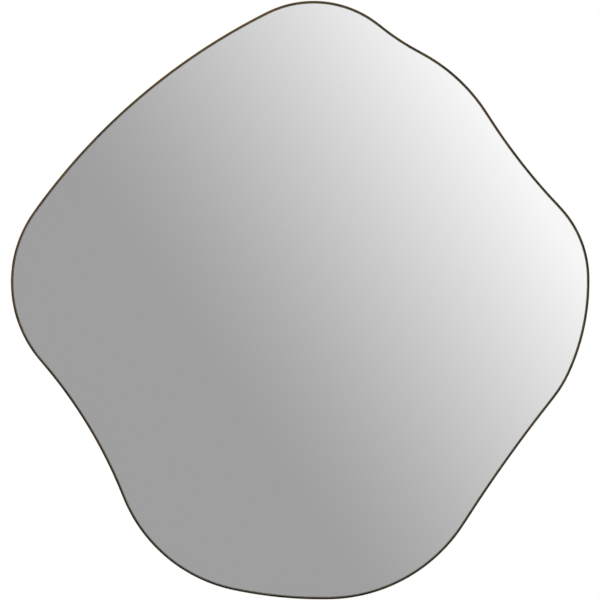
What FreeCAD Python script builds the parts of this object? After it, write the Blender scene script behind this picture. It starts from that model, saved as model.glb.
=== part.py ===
"""Irregular wall mirror in a thin steel band, with its backing board and hanging hardware.

Millimetres. X runs to the right of someone who looks into the mirror, Z runs up and the mirror faces -Y.
The origin lies on the wall, behind the middle of the outline.
"""
import FreeCAD, Part
import math
import os
import Sketcher

Vector = FreeCAD.Vector
TURN = 2 * math.pi

# Driving dimensions, millimetres and degrees. Levels are counted from the wall towards the room.
SIZES = {
    # lobes of the outline: centre and radius of the band's outer edge, anticlockwise from the right
    "right_x": 308, "right_z": 36, "right_radius": 175,
    "shoulder_x": 65, "shoulder_z": 155, "shoulder_radius": 294,
    "top_x": 22, "top_z": 324, "top_radius": 176,
    "left_x": -282, "left_z": 30, "left_radius": 202,
    "foot_left_x": -60, "foot_left_z": -235, "foot_left_radius": 255,
    "foot_right_x": 44, "foot_right_z": -227, "foot_right_radius": 273,
    "hip_x": 259, "hip_z": -34, "hip_radius": 210,
    # arc that blends each lobe into the next one
    "right_blend": 980, "shoulder_blend": 415, "top_blend": 1060, "left_blend": 790,
    "foot_left_blend": 715, "foot_right_blend": 2490, "hip_blend": 366,
    # steel band, a flat bar bent on edge
    "band_thickness": 3, "band_depth": 25, "band_edge_round": 0.5,
    # silvered glass and what lies round and behind it
    "glass_recess": 1.5, "glass_thickness": 4, "glass_gap": 1, "glass_arris": 0.5,
    "seal_depth": 2.5,
    "film_thickness": 0.2, "film_margin": 2,
    "tape_thickness": 1.3, "tape_width": 25, "tape_pitch": 155, "tape_end_margin": 15,
    "board_thickness": 9, "board_gap": 1,
    "shim_length": 30, "shim_depth": 8, "shim_slack": 0.1,
    # angle tabs that are welded into the band and screwed to the board
    "tab_thickness": 1.5, "tab_width": 20, "tab_reach": 16, "tab_upstand": 5,
    "tab_hole_inset": 9, "tab_corner": 3,
    # pan-head wood screws
    "screw_shank": 3.5, "screw_tip": 1, "screw_head": 7, "screw_head_height": 2.4, "screw_head_round": 1.1,
    "screw_cross_length": 3.8, "screw_cross_width": 0.9, "screw_cross_depth": 1.2,
    "screw_skin": 1.5, "screw_pilot_clearance": 0.05, "screw_hole_clearance": 0.3,
    # hangers: a strap with a rolled eye, and a ring that swings in it
    "hanger_middle": 5, "hanger_spacing": 460, "hanger_height": 230,
    "strap_width": 16, "strap_thickness": 1.2, "strap_first_screw": 23, "strap_screw_pitch": 18,
    "ring_wire": 3, "ring_half_width": 12.5, "ring_corner": 3, "ring_leg": 2,
    "ring_running_clearance": 0.05, "ring_strap_clearance": 0.3,
    # rubber bumpers that hold the rim off the wall
    "bumper_stand": 1.5, "bumper_base": 14, "bumper_tip": 12, "bumper_web": 4, "bumper_well": 8,
    "bumper_round": 0.8, "bumper_inset": 48,
}

# The outline's lobes, each with the kind of arc that blends it into the next
LOBES = (
    ("right", "concave"), ("shoulder", "concave"), ("top", "enclosing"), ("left", "concave"),
    ("foot_left", "enclosing"), ("foot_right", "concave"), ("hip", "enclosing"),
)

# Places on convex arcs of the outline, each with its share of the arc's sweep
TAB_PLACES = (
    ("right", 0.55), ("shoulder", 0.5), ("top", 0.5), ("top_blend", 0.5), ("left", 0.5),
    ("foot_left", 0.3), ("foot_left_blend", 0.5), ("foot_right", 0.75),
)
SHIM_PLACES = (
    ("right", 0.2), ("shoulder", 0.8), ("top_blend", 0.15), ("left", 0.2),
    ("foot_left", 0.7), ("foot_right", 0.3),
)
BUMPER_PLACES = (("shoulder", 0.4), ("top_blend", 0.5), ("foot_left", 0.5), ("foot_right", 0.5))
TAPE_COUNT = 5

# Two coordinates nearer than this are the same, for telling edges apart
SAME = 0.01

# Levels in front of the wall, as sums of sizes
RIM_REAR = ("bumper_stand",)
RIM_FRONT = RIM_REAR + ("band_depth",)
GLASS_FRONT = RIM_FRONT + ("-glass_recess",)
GLASS_REAR = GLASS_FRONT + ("-glass_thickness",)
FILM_REAR = GLASS_REAR + ("-film_thickness",)
BOARD_FRONT = FILM_REAR + ("-tape_thickness",)
BOARD_REAR = BOARD_FRONT + ("-board_thickness",)
TAB_REAR = BOARD_REAR + ("-tab_thickness",)
STRAP_REAR = BOARD_REAR + ("-strap_thickness",)

# Insets from the band's outer edge, as sums of sizes
BAND_INNER = ("band_thickness",)
GLASS_EDGE = BAND_INNER + ("glass_gap",)
FILM_EDGE = GLASS_EDGE + ("film_margin",)
BOARD_EDGE = BAND_INNER + ("board_gap",)
SHIM_OUTER = BAND_INNER + ("shim_slack",)


def value(terms):
    """Number that a sum of named sizes comes to."""
    return sum(-SIZES[term[1:]] if term[0] == "-" else SIZES[term] for term in terms)


def formula(terms):
    """The same sum as a text that reads the sheet's cells."""
    signed = [f"- Sizes.{term[1:]}" if term[0] == "-" else f"+ Sizes.{term}" for term in terms]
    return "0 " + " ".join(signed)


def minus(terms):
    return tuple(term[1:] if term[0] == "-" else "-" + term for term in terms)


# ---- the outline as a chain of tangent arcs

class OutlineArc:
    """One arc of the outline. It turns anticlockwise, or clockwise where it is concave."""

    def __init__(self, name, centre, radius_terms, convex, first, last):
        self.name = name
        self.centre = centre
        self.radius_terms = radius_terms
        self.convex = convex
        start, end = (first, last) if convex else (last, first)
        self.start = angle_of(start - centre)
        self.sweep = (angle_of(end - centre) - self.start) % TURN

    def angle(self, share):
        return self.start + share * self.sweep

    def point(self, share, inset):
        """Point of a convex arc, moved inwards by the inset."""
        reach = value(self.radius_terms) - inset
        return self.centre + Vector(math.cos(self.angle(share)), math.sin(self.angle(share))) * reach

    def terms_at(self, inset_terms):
        """Radius of the arc's copy that lies inset from the outline."""
        return self.radius_terms + (minus(inset_terms) if self.convex else tuple(inset_terms))


def angle_of(direction):
    return math.atan2(direction.y, direction.x)


def lobe_centre(name):
    return Vector(SIZES[name + "_x"], SIZES[name + "_z"])


def blend_centre(name, kind, next_name):
    """Centre of the arc that touches two neighbouring lobes."""
    here, there = lobe_centre(name), lobe_centre(next_name)
    blend = SIZES[name + "_blend"]
    if kind == "concave":
        to_here = blend + SIZES[name + "_radius"]
        to_there = blend + SIZES[next_name + "_radius"]
    else:
        to_here = blend - SIZES[name + "_radius"]
        to_there = blend - SIZES[next_name + "_radius"]
    apart = (there - here).Length
    along = (to_here ** 2 - to_there ** 2 + apart ** 2) / (2 * apart)
    aside = math.sqrt(to_here ** 2 - along ** 2)
    unit = (there - here) * (1 / apart)
    outward = Vector(unit.y, -unit.x)
    return here + unit * along + outward * (aside if kind == "concave" else -aside)


def touch_point(lobe, centre, kind):
    """Where a blend's arc meets a lobe: on the line through both centres."""
    middle = lobe_centre(lobe)
    direction = (centre - middle) if kind == "concave" else (middle - centre)
    return middle + direction * (SIZES[lobe + "_radius"] / direction.Length)


def outline_arcs():
    """The outline's arcs in order: each lobe and then its blend."""
    arcs = []
    following = [name for name, _ in LOBES[1:]] + [LOBES[0][0]]
    centres = [blend_centre(name, kind, after) for (name, kind), after in zip(LOBES, following)]
    for index, (name, kind) in enumerate(LOBES):
        before = touch_point(name, centres[index - 1], LOBES[index - 1][1])
        leave = touch_point(name, centres[index], kind)
        arrive = touch_point(following[index], centres[index], kind)
        arcs.append(OutlineArc(name, lobe_centre(name), (name + "_radius",), True, before, leave))
        convex = kind == "enclosing"
        arcs.append(OutlineArc(name + "_blend", centres[index], (name + "_blend",), convex, leave, arrive))
    return arcs


def heights_at(arcs, across, inset):
    """Lowest and highest point of the outline, moved inwards by the inset, at one place across."""
    found = []
    for arc in arcs:
        radius = value(arc.radius_terms) - (inset if arc.convex else -inset)
        offset = across - arc.centre.x
        if abs(offset) >= radius:
            continue
        rise = math.sqrt(radius ** 2 - offset ** 2)
        for height in (rise, -rise):
            turned = (math.atan2(height, offset) - arc.start) % TURN
            if turned <= arc.sweep:
                found.append(arc.centre.y + height)
    return min(found), max(found)


# ---- sheet, bodies and sketches

def make_sheet(doc):
    sheet = doc.addObject("Spreadsheet::Sheet", "Sizes")
    for row, (alias, size) in enumerate(SIZES.items(), start=1):
        sheet.set(f"A{row}", alias)
        sheet.set(f"B{row}", str(size))
        sheet.setAlias(f"B{row}", alias)
    doc.recompute()


def make_body(doc, label, rear_level=()):
    """Body whose plane y = 0 lies on a level in front of the wall."""
    body = doc.addObject("PartDesign::Body", label)
    body.Label = label
    body.setExpression("Placement.Base.y", formula(minus(rear_level)))
    return body


def make_sketch(body, name, plane, offset_terms=()):
    """Sketch on one of the body's own planes. An offset moves it along that plane's normal."""
    sketch = body.newObject("Sketcher::SketchObject", name)
    support = [face for face in body.Origin.OriginFeatures if face.Role == plane][0]
    sketch.AttachmentSupport = [(support, "")]
    sketch.MapMode = "FlatFace"
    if offset_terms:
        sketch.setExpression("AttachmentOffset.Base.z", formula(offset_terms))
    return sketch


def bind(sketch, constraint, name, terms, share=1):
    """Add a dimension and tie it to the sheet."""
    index = sketch.addConstraint(constraint)
    sketch.renameConstraint(index, name)
    text = formula(terms) if share == 1 else f"({formula(terms)}) * {share}"
    sketch.setExpression("Constraints." + name, text)


def whole(*terms):
    """A sum of sizes, as a coordinate."""
    return terms, 1


def half(*terms):
    """Half a sum of sizes, as a coordinate."""
    return terms, 0.5


def place_point(sketch, piece, end, name, across, up):
    """Tie a point's two coordinates to the sheet, or to an axis where a coordinate has no terms."""
    for kind, axis, (terms, share) in (("DistanceX", -2, across), ("DistanceY", -1, up)):
        if terms:
            dimension = Sketcher.Constraint(kind, -1, 1, piece, end, value(terms) * share)
            bind(sketch, dimension, f"{name}_{kind[-1]}", terms, share)
        else:
            sketch.addConstraint(Sketcher.Constraint("PointOnObject", piece, end, axis))


def polygon(sketch, corners):
    """Closed polygon through corners that the sheet places."""
    points = [Vector(value(across[0]) * across[1], value(up[0]) * up[1]) for across, up in corners]
    for index, point in enumerate(points):
        sketch.addGeometry(Part.LineSegment(point, points[(index + 1) % len(points)]))
    for index, (across, up) in enumerate(corners):
        following = (index + 1) % len(corners)
        sketch.addConstraint(Sketcher.Constraint("Coincident", index, 2, following, 1))
        place_point(sketch, index, 1, f"corner_{index + 1}", across, up)


def pad(body, sketch, name, terms, reverse=False, both_ways=False):
    feature = body.newObject("PartDesign::Pad", name)
    feature.Profile = sketch
    feature.setExpression("Length", formula(terms))
    feature.Reversed = reverse
    feature.Midplane = both_ways
    body.Document.recompute()
    return feature


def pocket(body, sketch, name, terms=(), reverse=False):
    """Pocket of a depth, or through everything when no depth is given."""
    feature = body.newObject("PartDesign::Pocket", name)
    feature.Profile = sketch
    if terms:
        feature.setExpression("Length", formula(terms))
    else:
        feature.Type = "ThroughAll"
        feature.Midplane = True
    feature.Reversed = reverse
    body.Document.recompute()
    return feature


def dress(body, kind, name, chosen, terms):
    """Fillet or Chamfer on the edges of the body that the test chooses."""
    base = body.Tip
    edges = [f"Edge{n}" for n, edge in enumerate(base.Shape.Edges, start=1) if chosen(edge)]
    feature = body.newObject("PartDesign::" + kind, name)
    feature.Base = (base, edges)
    feature.setExpression("Radius" if kind == "Fillet" else "Size", formula(terms))
    body.Document.recompute()
    return feature


def outline_sketch(body, name, arcs, inset_terms, offset_terms=()):
    """The outline, moved inwards by an inset, as tangent arcs that the sheet drives."""
    sketch = make_sketch(body, name, "XZ_Plane", offset_terms)
    ends = []
    for arc in arcs:
        radius = value(arc.terms_at(inset_terms))
        circle = Part.Circle(arc.centre, Vector(0, 0, 1), radius)
        sketch.addGeometry(Part.ArcOfCircle(circle, arc.start, arc.start + arc.sweep))
        ends.append((1, 2) if arc.convex else (2, 1))
    for index, arc in enumerate(arcs):
        following = (index + 1) % len(arcs)
        sketch.addConstraint(
            Sketcher.Constraint("Tangent", index, ends[index][1], following, ends[following][0]))
    for index, arc in enumerate(arcs):
        terms = arc.terms_at(inset_terms)
        bind(sketch, Sketcher.Constraint("Radius", index, value(terms)), arc.name + "_radius", terms)
        if not arc.name.endswith("_blend"):
            place_point(sketch, index, 3, arc.name, whole(arc.name + "_x"), whole(arc.name + "_z"))
    return sketch


def circles_sketch(body, name, places, diameter_terms, offset_terms=()):
    """Equal circles at places across and up the body's XZ plane."""
    sketch = make_sketch(body, name, "XZ_Plane", offset_terms)
    for index, place in enumerate(places):
        circle = Part.Circle(Vector(place.x, place.y), Vector(0, 0, 1), value(diameter_terms) / 2)
        sketch.addGeometry(circle)
        sketch.addConstraint(Sketcher.Constraint("DistanceX", -1, 1, index, 3, place.x))
        sketch.addConstraint(Sketcher.Constraint("DistanceY", -1, 1, index, 3, place.y))
        bind(sketch, Sketcher.Constraint("Diameter", index, value(diameter_terms)),
             f"hole_{index + 1}", diameter_terms)
    return sketch


# ---- places that the outline carries

def outline_place(arcs, place, inset_terms):
    """Point across and up at a share of a named arc, moved inwards."""
    name, share = place
    arc = [arc for arc in arcs if arc.name == name][0]
    return arc.point(share, value(inset_terms))


def turn_onto(body, arcs, place):
    """Move a body to an arc's centre and turn its X axis towards a place on that arc."""
    name, share = place
    arc = [arc for arc in arcs if arc.name == name][0]
    degrees = math.degrees(arc.angle(share))
    body.Placement.Base.x = arc.centre.x
    body.Placement.Base.z = arc.centre.y
    body.Placement.Rotation = FreeCAD.Rotation(Vector(0, -1, 0), degrees)
    return arc


def tab_hole_places(arcs):
    inset = BAND_INNER + ("tab_hole_inset",)
    return [outline_place(arcs, place, inset) for place in TAB_PLACES]


def bumper_places(arcs):
    return [outline_place(arcs, place, ("bumper_inset",)) for place in BUMPER_PLACES]


def hanger_x(side):
    return SIZES["hanger_middle"] + side * SIZES["hanger_spacing"] / 2


def hanger_screw_places():
    places = []
    for side in (-1, 1):
        first = SIZES["hanger_height"] - SIZES["strap_first_screw"]
        places.append(Vector(hanger_x(side), first))
        places.append(Vector(hanger_x(side), first - SIZES["strap_screw_pitch"]))
    return places


# ---- frame and mirror

def frame_band(doc, arcs):
    """Flat steel bar, bent on edge round the outline and closed on itself."""
    body = make_body(doc, "frame_band", RIM_REAR)
    pad(body, outline_sketch(body, "band_outside", arcs, ()), "band_bar", ("band_depth",))
    pocket(body, outline_sketch(body, "band_inside", arcs, BAND_INNER), "band_opening")
    rims = dress(body, "Fillet", "band_rims", lies_flat, ("band_edge_round",))
    body.Tip = rims
    return body


def lies_flat(edge):
    """True for an edge that runs in a plane parallel to the wall."""
    return edge.BoundBox.YLength < SAME


def edge_seal(doc, arcs):
    """Soft strip in the gap between the glass and the band, flush with the glass."""
    body = make_body(doc, "edge_seal", GLASS_FRONT + ("-seal_depth",))
    pad(body, outline_sketch(body, "seal_outside", arcs, BAND_INNER), "seal_strip", ("seal_depth",))
    pocket(body, outline_sketch(body, "seal_inside", arcs, GLASS_EDGE), "seal_opening")
    return body


def mirror_glass(doc, arcs):
    body = make_body(doc, "mirror_glass", GLASS_REAR)
    pad(body, outline_sketch(body, "glass_outline", arcs, GLASS_EDGE), "glass_pane", ("glass_thickness",))
    body.Tip = dress(body, "Chamfer", "glass_arrises", lies_flat, ("glass_arris",))
    return body


def safety_film(doc, arcs):
    """Film on the back of the glass, which holds the pieces together if it breaks."""
    body = make_body(doc, "safety_film", FILM_REAR)
    pad(body, outline_sketch(body, "film_outline", arcs, FILM_EDGE), "film_sheet", ("film_thickness",))
    return body


def mounting_tape(doc, arcs, number):
    """Upright strip of foam tape between the film and the board, cut square inside the outline."""
    label = f"mounting_tape_{number}"
    middle = (number - (TAPE_COUNT + 1) / 2) * SIZES["tape_pitch"]
    sides = [middle - SIZES["tape_width"] / 2, middle, middle + SIZES["tape_width"] / 2]
    heights = [heights_at(arcs, side, value(FILM_EDGE)) for side in sides]
    low = max(height[0] for height in heights) + SIZES["tape_end_margin"]
    high = min(height[1] for height in heights) - SIZES["tape_end_margin"]
    strip = doc.addObject("Part::Box", label)
    strip.Label = label
    strip.setExpression("Length", "Sizes.tape_width")
    strip.setExpression("Width", "Sizes.tape_thickness")
    strip.Height = high - low
    strip.Placement.Base = Vector(sides[0], -value(FILM_REAR), low)
    return strip


def backing_board(doc, arcs):
    """Fibreboard that the glass is taped to, with a pilot hole for every screw."""
    body = make_body(doc, "backing_board", BOARD_REAR)
    pad(body, outline_sketch(body, "board_outline", arcs, BOARD_EDGE), "board_panel", ("board_thickness",))
    places = tab_hole_places(arcs) + hanger_screw_places() + bumper_places(arcs)
    diameter = ("screw_shank", "screw_pilot_clearance", "screw_pilot_clearance")
    holes = circles_sketch(body, "pilot_holes", places, diameter)
    pocket(body, holes, "board_pilots", ("board_thickness", "-screw_skin"), reverse=True)
    return body


def centring_shim(doc, arcs, place, number):
    """Thin block in the gap between the board's edge and the band."""
    body = make_body(doc, f"centring_shim_{number}", BOARD_REAR)
    arc = turn_onto(body, arcs, place)
    profile = curved_strip_sketch(body, "shim_profile", arc, SHIM_OUTER, BOARD_EDGE, "shim_length")
    pad(body, profile, "shim_block", ("shim_depth",))
    return body


def curved_strip_sketch(body, name, arc, outer_inset, inner_inset, width_name):
    """Strip between two insets of an arc, with its middle on the body's X axis."""
    sketch = make_sketch(body, name, "XZ_Plane")
    half = SIZES[width_name] / 2
    spans = []
    for index, inset in enumerate((outer_inset, inner_inset)):
        radius = value(arc.terms_at(inset))
        swing = math.asin(half / radius)
        circle = Part.Circle(Vector(0, 0), Vector(0, 0, 1), radius)
        sketch.addGeometry(Part.ArcOfCircle(circle, -swing, swing))
        spans.append(math.sqrt(radius ** 2 - half ** 2))
        sketch.addConstraint(Sketcher.Constraint("Coincident", index, 3, -1, 1))
        bind(sketch, Sketcher.Constraint("Radius", index, radius), f"curve_{index + 1}", arc.terms_at(inset))
    for side, end in ((-1, 1), (1, 2)):
        line = sketch.addGeometry(
            Part.LineSegment(Vector(spans[1], side * half), Vector(spans[0], side * half)))
        sketch.addConstraint(Sketcher.Constraint("Coincident", line, 1, 1, end))
        sketch.addConstraint(Sketcher.Constraint("Coincident", line, 2, 0, end))
        sketch.addConstraint(Sketcher.Constraint("Horizontal", line))
    sketch.addConstraint(Sketcher.Constraint("Symmetric", 0, 1, 0, 2, -1))
    bind(sketch, Sketcher.Constraint("DistanceY", 0, 1, 0, 2, 2 * half), "width", (width_name,))
    return sketch


def tab_foot_sketch(body, arc):
    """Foot of a tab: curved where it meets the band, straight on its other sides."""
    sketch = make_sketch(body, "foot_profile", "XZ_Plane")
    half = SIZES["tab_width"] / 2
    curve_terms = arc.terms_at(BAND_INNER)
    radius = value(curve_terms)
    swing = math.asin(half / radius)
    start = math.sqrt(radius ** 2 - half ** 2)
    end_terms = curve_terms + ("-tab_reach",)
    end = value(end_terms)
    sketch.addGeometry(Part.ArcOfCircle(Part.Circle(Vector(0, 0), Vector(0, 0, 1), radius), -swing, swing))
    sketch.addGeometry(Part.LineSegment(Vector(start, half), Vector(end, half)))
    sketch.addGeometry(Part.LineSegment(Vector(end, half), Vector(end, -half)))
    sketch.addGeometry(Part.LineSegment(Vector(end, -half), Vector(start, -half)))
    sketch.addConstraint(Sketcher.Constraint("Coincident", 0, 3, -1, 1))
    for first, first_end, second, second_end in ((0, 2, 1, 1), (1, 2, 2, 1), (2, 2, 3, 1), (3, 2, 0, 1)):
        sketch.addConstraint(Sketcher.Constraint("Coincident", first, first_end, second, second_end))
    sketch.addConstraint(Sketcher.Constraint("Horizontal", 1))
    sketch.addConstraint(Sketcher.Constraint("Horizontal", 3))
    sketch.addConstraint(Sketcher.Constraint("Vertical", 2))
    sketch.addConstraint(Sketcher.Constraint("Symmetric", 0, 1, 0, 2, -1))
    bind(sketch, Sketcher.Constraint("Radius", 0, radius), "band_curve", curve_terms)
    bind(sketch, Sketcher.Constraint("DistanceY", 0, 1, 0, 2, 2 * half), "width", ("tab_width",))
    bind(sketch, Sketcher.Constraint("DistanceX", -1, 1, 2, 1, end), "reach", end_terms)
    return sketch


def frame_tab(doc, arcs, place, number):
    """Angle tab: its upstand is welded to the band and its foot is screwed to the board."""
    body = make_body(doc, f"frame_tab_{number}", TAB_REAR)
    arc = turn_onto(body, arcs, place)
    pad(body, tab_foot_sketch(body, arc), "tab_foot", ("tab_thickness",))
    upstand_inner = BAND_INNER + ("tab_thickness",)
    upstand = curved_strip_sketch(body, "upstand_profile", arc, BAND_INNER, upstand_inner, "tab_width")
    pad(body, upstand, "tab_wall", ("tab_upstand",), reverse=True)
    hole = make_sketch(body, "screw_hole", "XZ_Plane")
    diameter = ("screw_shank", "screw_hole_clearance", "screw_hole_clearance")
    across = arc.terms_at(BAND_INNER + ("tab_hole_inset",))
    hole.addGeometry(Part.Circle(Vector(value(across), 0), Vector(0, 0, 1), value(diameter) / 2))
    hole.addConstraint(Sketcher.Constraint("PointOnObject", 0, 3, -1))
    bind(hole, Sketcher.Constraint("DistanceX", -1, 1, 0, 3, value(across)), "across", across)
    bind(hole, Sketcher.Constraint("Diameter", 0, value(diameter)), "diameter", diameter)
    pocket(body, hole, "tab_screw_hole")
    end = value(arc.terms_at(BAND_INNER + ("tab_reach",)))
    body.Tip = dress(body, "Fillet", "tab_corners", foot_corner(end), ("tab_corner",))
    return body


def foot_corner(end):
    """Test for the two edges that run through the foot's thickness at its free end."""
    def chosen(edge):
        box = edge.BoundBox
        straight_through = box.XLength < SAME and box.ZLength < SAME
        return straight_through and abs(box.XMin - end) < SAME
    return chosen


# ---- screws, hangers and bumpers

def screw(doc, label, carried_terms):
    """Pan-head screw with its head on the plane y = 0 and its shank towards the room."""
    body = doc.addObject("PartDesign::Body", label)
    body.Label = label
    sketch = make_sketch(body, "half_section", "XY_Plane")
    axis, seat = whole(), whole()
    rise = whole("screw_head_height")
    tip_terms = minus(carried_terms + ("board_thickness", "-screw_skin"))
    shank = half("screw_shank")
    polygon(sketch, [
        (axis, rise), (half("screw_head"), rise), (half("screw_head"), seat), (shank, seat),
        (shank, whole(*tip_terms, "screw_shank")), (half("screw_tip"), whole(*tip_terms)),
        (axis, whole(*tip_terms)),
    ])
    turned = body.newObject("PartDesign::Revolution", "turned")
    turned.Profile = sketch
    turned.ReferenceAxis = (sketch, ["V_Axis"])
    turned.Angle = 360
    doc.recompute()
    dress(body, "Fillet", "head_round", head_rim, ("screw_head_round",))
    cross = cross_sketch(body)
    body.Tip = pocket(body, cross, "cross_recess", ("screw_cross_depth",), reverse=True)
    return body


def head_rim(edge):
    """Test for the circle round the top of a screw's head."""
    box = edge.BoundBox
    return box.YMin > SIZES["screw_head_height"] - SAME and box.XLength > SIZES["screw_shank"]


def cross_sketch(body):
    """Cross of two equal bars, on the top of the head."""
    sketch = make_sketch(body, "cross_outline", "XZ_Plane", ("-screw_head_height",))
    reach, bar = ("screw_cross_length",), ("screw_cross_width",)
    quarter = [(reach, minus(bar)), (reach, bar), (bar, bar)]
    corners = []
    for _ in range(4):
        corners += [(half(*across), half(*up)) for across, up in quarter]
        quarter = [(minus(up), across) for across, up in quarter]
    polygon(sketch, corners)
    return sketch


def screw_group(doc, label, master, places, seat_terms):
    """Equal screws at their places, with their heads on one level."""
    group = doc.addObject("Part::Feature", label)
    group.Label = label
    copies = []
    for place in places:
        copies.append(master.Shape.translated(Vector(place.x, -value(seat_terms), place.y)))
    group.Shape = Part.makeCompound(copies)
    return group


def place_at_eye(body, side):
    """Put a body's origin on the ring's pivot axis."""
    pivot = f"({formula(STRAP_REAR)} - Sizes.ring_strap_clearance - Sizes.ring_wire / 2)"
    body.setExpression("Placement.Base.x", f"Sizes.hanger_middle + {side} * Sizes.hanger_spacing / 2")
    body.setExpression("Placement.Base.y", f"-{pivot}")
    body.setExpression("Placement.Base.z", "Sizes.hanger_height")


def hanger_strap(doc, label, side):
    """Steel strap, screwed to the board, whose top is rolled into an eye round the ring."""
    body = doc.addObject("PartDesign::Body", label)
    body.Label = label
    place_at_eye(body, side)
    bore = ("ring_wire", "ring_running_clearance", "ring_running_clearance")
    roll = bore + ("strap_thickness", "strap_thickness")
    pad(body, round_sketch(body, "eye_outside", roll), "eye_roll", ("strap_width",), both_ways=True)
    pad(body, strap_sketch(body), "strap_flat", ("strap_thickness",))
    pocket(body, round_sketch(body, "eye_bore_outline", bore), "eye_bore")
    holes = [Vector(0, -SIZES["strap_first_screw"]),
             Vector(0, -SIZES["strap_first_screw"] - SIZES["strap_screw_pitch"])]
    diameter = ("screw_shank", "screw_hole_clearance", "screw_hole_clearance")
    body.Tip = pocket(body, circles_sketch(body, "screw_holes", holes, diameter), "strap_holes")
    return body


def round_sketch(body, name, diameter_terms):
    """Circle round the ring's pivot axis."""
    sketch = make_sketch(body, name, "YZ_Plane")
    sketch.addGeometry(Part.Circle(Vector(0, 0), Vector(0, 0, 1), value(diameter_terms) / 2))
    sketch.addConstraint(Sketcher.Constraint("Coincident", 0, 3, -1, 1))
    bind(sketch, Sketcher.Constraint("Diameter", 0, value(diameter_terms)), "diameter", diameter_terms)
    return sketch


def strap_sketch(body):
    """Flat of the strap: square under the eye and round at its lower end."""
    sketch = make_sketch(body, "strap_outline", "XZ_Plane")
    lift = "Sizes.ring_wire / 2 + Sizes.ring_strap_clearance"
    sketch.setExpression("AttachmentOffset.Base.z", lift)
    half = SIZES["strap_width"] / 2
    middle_terms = ("strap_first_screw", "strap_screw_pitch")
    low = value(middle_terms)
    down = Part.Circle(Vector(0, -low), Vector(0, 0, 1), half)
    sketch.addGeometry(Part.ArcOfCircle(down, math.pi, TURN))
    sketch.addGeometry(Part.LineSegment(Vector(half, -low), Vector(half, 0)))
    sketch.addGeometry(Part.LineSegment(Vector(half, 0), Vector(-half, 0)))
    sketch.addGeometry(Part.LineSegment(Vector(-half, 0), Vector(-half, -low)))
    sketch.addConstraint(Sketcher.Constraint("Tangent", 0, 2, 1, 1))
    sketch.addConstraint(Sketcher.Constraint("Coincident", 1, 2, 2, 1))
    sketch.addConstraint(Sketcher.Constraint("Coincident", 2, 2, 3, 1))
    sketch.addConstraint(Sketcher.Constraint("Tangent", 3, 2, 0, 1))
    sketch.addConstraint(Sketcher.Constraint("Vertical", 1))
    sketch.addConstraint(Sketcher.Constraint("Horizontal", 2))
    sketch.addConstraint(Sketcher.Constraint("PointOnObject", 2, 1, -1))
    sketch.addConstraint(Sketcher.Constraint("PointOnObject", 0, 3, -2))
    bind(sketch, Sketcher.Constraint("Radius", 0, half), "half_width", ("strap_width",), 0.5)
    bind(sketch, Sketcher.Constraint("DistanceY", 0, 3, -1, 1, low), "low_screw", middle_terms)
    return sketch


def hanger_ring(doc, label, side):
    """Bent wire ring: its straight bar turns in the strap's eye and its bow hangs below."""
    body = doc.addObject("PartDesign::Body", label)
    body.Label = label
    place_at_eye(body, side)
    section = round_sketch(body, "wire_section", ("ring_wire",))
    path = ring_path_sketch(body)
    doc.recompute()
    pipe = body.newObject("PartDesign::AdditivePipe", "ring_wire_pipe")
    pipe.Profile = section
    pipe.Spine = (path, [])
    doc.recompute()
    body.Tip = pipe
    return body


def ring_path_sketch(body):
    """Centre line of the ring: bar, two tight corners, two legs and a half-round bow."""
    sketch = make_sketch(body, "ring_path", "XZ_Plane")
    half, corner, leg = SIZES["ring_half_width"], SIZES["ring_corner"], SIZES["ring_leg"]
    up = Vector(0, 0, 1)
    bend = half - corner
    low = -corner - leg
    sketch.addGeometry(Part.LineSegment(Vector(-bend, 0), Vector(bend, 0)))
    sketch.addGeometry(Part.ArcOfCircle(Part.Circle(Vector(bend, -corner), up, corner), 0, TURN / 4))
    sketch.addGeometry(Part.LineSegment(Vector(half, -corner), Vector(half, low)))
    sketch.addGeometry(Part.ArcOfCircle(Part.Circle(Vector(0, low), up, half), TURN / 2, TURN))
    sketch.addGeometry(Part.LineSegment(Vector(-half, low), Vector(-half, -corner)))
    sketch.addGeometry(
        Part.ArcOfCircle(Part.Circle(Vector(-bend, -corner), up, corner), TURN / 4, TURN / 2))
    for first, first_end, second, second_end in (
            (0, 2, 1, 2), (1, 1, 2, 1), (2, 2, 3, 2), (3, 1, 4, 1), (4, 2, 5, 2), (5, 1, 0, 1)):
        sketch.addConstraint(Sketcher.Constraint("Tangent", first, first_end, second, second_end))
    sketch.addConstraint(Sketcher.Constraint("Horizontal", 0))
    sketch.addConstraint(Sketcher.Constraint("PointOnObject", 0, 1, -1))
    sketch.addConstraint(Sketcher.Constraint("Vertical", 2))
    sketch.addConstraint(Sketcher.Constraint("PointOnObject", 3, 3, -2))
    bind(sketch, Sketcher.Constraint("Radius", 1, corner), "corner_right", ("ring_corner",))
    bind(sketch, Sketcher.Constraint("Radius", 5, corner), "corner_left", ("ring_corner",))
    bind(sketch, Sketcher.Constraint("Radius", 3, half), "bow", ("ring_half_width",))
    bind(sketch, Sketcher.Constraint("DistanceY", 2, 2, 2, 1, leg), "leg", ("ring_leg",))
    return sketch


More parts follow.
